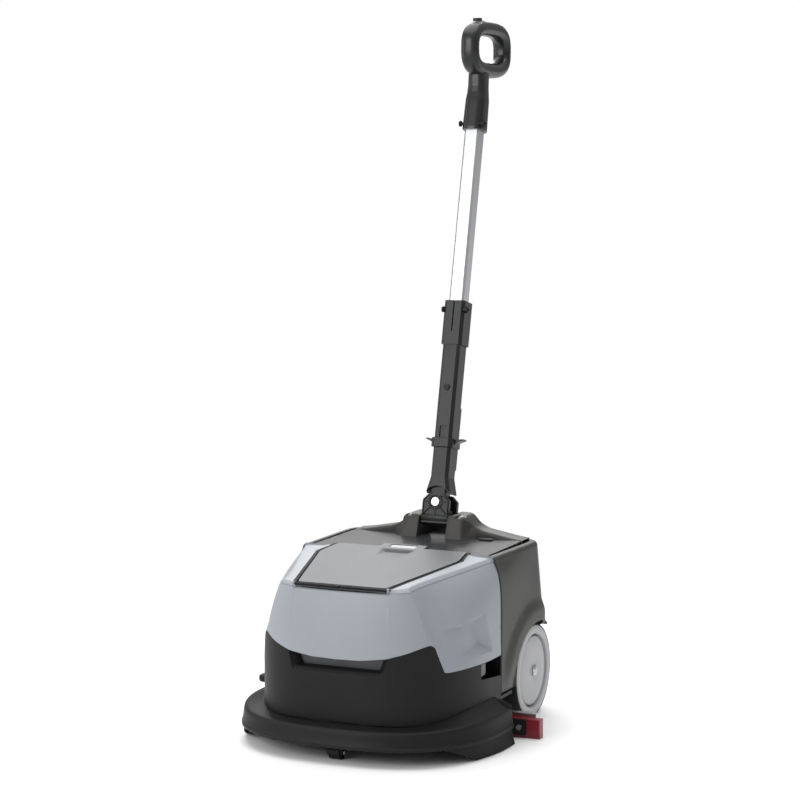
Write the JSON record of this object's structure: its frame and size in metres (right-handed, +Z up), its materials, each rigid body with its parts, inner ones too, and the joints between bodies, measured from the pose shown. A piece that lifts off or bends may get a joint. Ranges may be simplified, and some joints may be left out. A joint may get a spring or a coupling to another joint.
{
  "type": "walk-behind floor scrubber",
  "caption": "Compact walk-behind wet dry floor scrubber: counter-rotating brushes under a wide deck, lift-off tank with lid, squeegee, wheels and a tilting telescopic handle with ring grip.",
  "frame": {"origin": "on the floor under the middle of the machine's overall box", "axes": "+X to the machine's right, -Y its front, +Z up"},
  "size_m": [0.48, 0.7095, 1.1525],
  "materials": {
    "grey_shell": "satin moulded ABS, light blue-grey",
    "lid_grey": "satin moulded ABS, mid grey",
    "cover_black": "semi-gloss moulded ABS, near black",
    "body_black": "fine textured polypropylene, charcoal",
    "housing_black": "fine textured ABS, charcoal",
    "mast_black": "satin glass-filled nylon, black",
    "grip_black": "semi-gloss nylon, black",
    "tube_metal": "satin anodised extrusion",
    "steel": "zinc plated",
    "black_steel": "black oxide",
    "skirt_rubber": "matt moulded EPDM",
    "seal_rubber": "soft foam seal",
    "blade_red": "dark red polyurethane",
    "blade_grey": "grey rubber",
    "holder_alu": "satin extrusion",
    "tyre_rubber": "dark grey moulded rubber",
    "wheel_grey": "satin moulded polypropylene, light grey",
    "roller_rubber": "black solid roller",
    "bristle_nylon": "nylon tufts",
    "brush_block": "moulded polypropylene",
    "gear_nylon": "natural acetal",
    "pan_plastic": "moulded polypropylene",
    "tank_clear": "translucent polyethylene",
    "battery_case": "shrink sleeved pack",
    "board_green": "coated circuit board",
    "motor_steel": "rolled steel can"
  },
  "bodies": {
    "chassis": {"brush_deck": "body_black", "deck_edge_strip": "skirt_rubber", "splash_skirt_right": "skirt_rubber", "splash_skirt_left": "skirt_rubber", "lower_shell": "body_black", "rear_housing": "housing_black", "rear_cover": "cover_black", "base_plate": "pan_plastic", "battery_pack": "battery_case", "control_board": "board_green", "drive_motor": "motor_steel", "gear_case": "pan_plastic", "suction_motor": "motor_steel", "solution_tank": "tank_clear", "solution_pump": "pan_plastic", "wheel_axle": "steel", "roller_bracket": "body_black", "roller_pin": "steel", "housing_screws": "black_steel"},
    "front_roller": {"front_roller": "roller_rubber"},
    "charge_cap": {"charge_cap": "skirt_rubber"},
    "idler_left": {"idler_gear_left": "gear_nylon"},
    "idler_right": {"idler_gear_right": "gear_nylon"},
    "pinion": {"motor_pinion": "steel"},
    "squeegee": {"squeegee_holder": "holder_alu", "squeegee_blade_front": "blade_red", "squeegee_blade_rear": "blade_grey", "blade_clamps": "body_black", "clamp_screws": "steel"},
    "lift_lever": {"squeegee_lever": "housing_black"},
    "tank": {"tank_shell": "grey_shell", "lid_seal": "seal_rubber", "lid_hinge_pin": "steel"},
    "lid": {"tank_lid": "lid_grey"},
    "latch": {"lid_latch": "cover_black"},
    "yoke": {"yoke": "mast_black", "yoke_shaft": "steel", "swing_pin": "steel"},
    "mast": {"mast_front_shell": "mast_black", "mast_rear_shell": "mast_black", "collar_bolt": "black_steel", "shell_screw": "black_steel"},
    "slider": {"release_slider": "mast_black"},
    "grip": {"mast_tube": "tube_metal", "grip_handle": "grip_black", "grip_bolt": "black_steel"},
    "button": {"start_button": "grip_black"},
    "wheel_left": {"tyre_left": "tyre_rubber", "rim_left": "wheel_grey", "hub_cap_left": "steel"},
    "spindle_left": {"brush_gear_left": "gear_nylon"},
    "brush_left": {"brush_plate_left": "brush_block", "bristles_left": "bristle_nylon"},
    "wheel_right": {"tyre_right": "tyre_rubber", "rim_right": "wheel_grey", "hub_cap_right": "steel"},
    "spindle_right": {"brush_gear_right": "gear_nylon"},
    "brush_right": {"brush_plate_right": "brush_block", "bristles_right": "bristle_nylon"}
  },
  "joints": [
    {"name": "wheel_left_turn", "type": "hinge", "parent": "chassis", "child": "wheel_left", "pos_m": [-0.161, 0.05625, 0.0776], "axis": [1, 0, 0], "continuous": true},
    {"name": "wheel_right_turn", "type": "hinge", "parent": "chassis", "child": "wheel_right", "pos_m": [0.161, 0.05625, 0.0776], "axis": [1, 0, 0], "continuous": true},
    {"name": "roller_turn", "type": "hinge", "parent": "chassis", "child": "front_roller", "pos_m": [0, -0.31675, 0.012], "axis": [1, 0, 0], "continuous": true},
    {"name": "spindle_left_turn", "type": "hinge", "parent": "chassis", "child": "spindle_left", "pos_m": [-0.096, -0.23575, 0.07], "axis": [0, 0, 1], "continuous": true},
    {"name": "spindle_right_turn", "type": "hinge", "parent": "chassis", "child": "spindle_right", "pos_m": [0.096, -0.23575, 0.07], "axis": [0, 0, 1], "continuous": true},
    {"name": "idler_left_turn", "type": "hinge", "parent": "chassis", "child": "idler_left", "pos_m": [-0.03, -0.23575, 0.07], "axis": [0, 0, 1], "continuous": true},
    {"name": "idler_right_turn", "type": "hinge", "parent": "chassis", "child": "idler_right", "pos_m": [0.03, -0.23575, 0.07], "axis": [0, 0, 1], "continuous": true},
    {"name": "pinion_turn", "type": "hinge", "parent": "chassis", "child": "pinion", "pos_m": [0.03, -0.19375, 0.07], "axis": [0, 0, 1], "continuous": true},
    {"name": "brush_left_drop", "type": "slide", "parent": "spindle_left", "child": "brush_left", "axis": [0, 0, -1], "range_m": [0, 0.0268]},
    {"name": "brush_right_drop", "type": "slide", "parent": "spindle_right", "child": "brush_right", "axis": [0, 0, -1], "range_m": [0, 0.0268]},
    {"name": "squeegee_lift", "type": "slide", "parent": "chassis", "child": "squeegee", "axis": [0, 0, 1], "range_m": [0, 0.014]},
    {"name": "lever_turn", "type": "hinge", "parent": "chassis", "child": "lift_lever", "pos_m": [-0.188, -0.09575, 0.076], "axis": [-1, 0, 0], "range_deg": [0, 40.2]},
    {"name": "tank_lift_off", "type": "slide", "parent": "chassis", "child": "tank", "axis": [0, 0, 1], "range_m": [0, 0.2]},
    {"name": "lid_open", "type": "hinge", "parent": "tank", "child": "lid", "pos_m": [0, -0.2975, 0.26296], "axis": [1, 0, 0], "range_deg": [0, 85]},
    {"name": "latch_turn", "type": "hinge", "parent": "lid", "child": "latch", "pos_m": [0, -0.07742, 0.28809], "axis": [1, 0, 0], "range_deg": [0, 35]},
    {"name": "charge_cap_pull", "type": "slide", "parent": "chassis", "child": "charge_cap", "axis": [0, 0, 1], "range_m": [0, 0.012]},
    {"name": "mast_tilt", "type": "hinge", "parent": "chassis", "child": "yoke", "pos_m": [0, 0.06449, 0.31798], "axis": [-1, 0, 0], "range_deg": [-13, 35]},
    {"name": "mast_swing", "type": "hinge", "parent": "yoke", "child": "mast", "pos_m": [0, 0.07825, 0.342], "axis": [0, 0.9744, -0.225], "range_deg": [-25, 25]},
    {"name": "handle_telescope", "type": "slide", "parent": "mast", "child": "grip", "axis": [0, 0.225, 0.9744], "range_m": [-0.22, 0]},
    {"name": "release_slide", "type": "slide", "parent": "mast", "child": "slider", "axis": [0, 0.225, 0.9744], "range_m": [0, 0.012], "stiffness_N_per_m": 800, "springref_m": -0.001},
    {"name": "start_button_press", "type": "slide", "parent": "grip", "child": "button", "axis": [0, 0, -1], "range_m": [0, 0.0025], "stiffness_N_per_m": 800, "springref_m": -0.0005}
  ],
  "couplings": [
    {"joint": "spindle_right_turn", "follows": "spindle_left_turn", "ratio": -1},
    {"joint": "idler_left_turn", "follows": "spindle_left_turn", "ratio": -1.2},
    {"joint": "idler_right_turn", "follows": "spindle_left_turn", "ratio": 1.2},
    {"joint": "pinion_turn", "follows": "spindle_left_turn", "ratio": -3},
    {"joint": "brush_right_drop", "follows": "brush_left_drop", "ratio": 1},
    {"joint": "lever_turn", "follows": "squeegee_lift", "rad_per_m": 50}
  ]
}
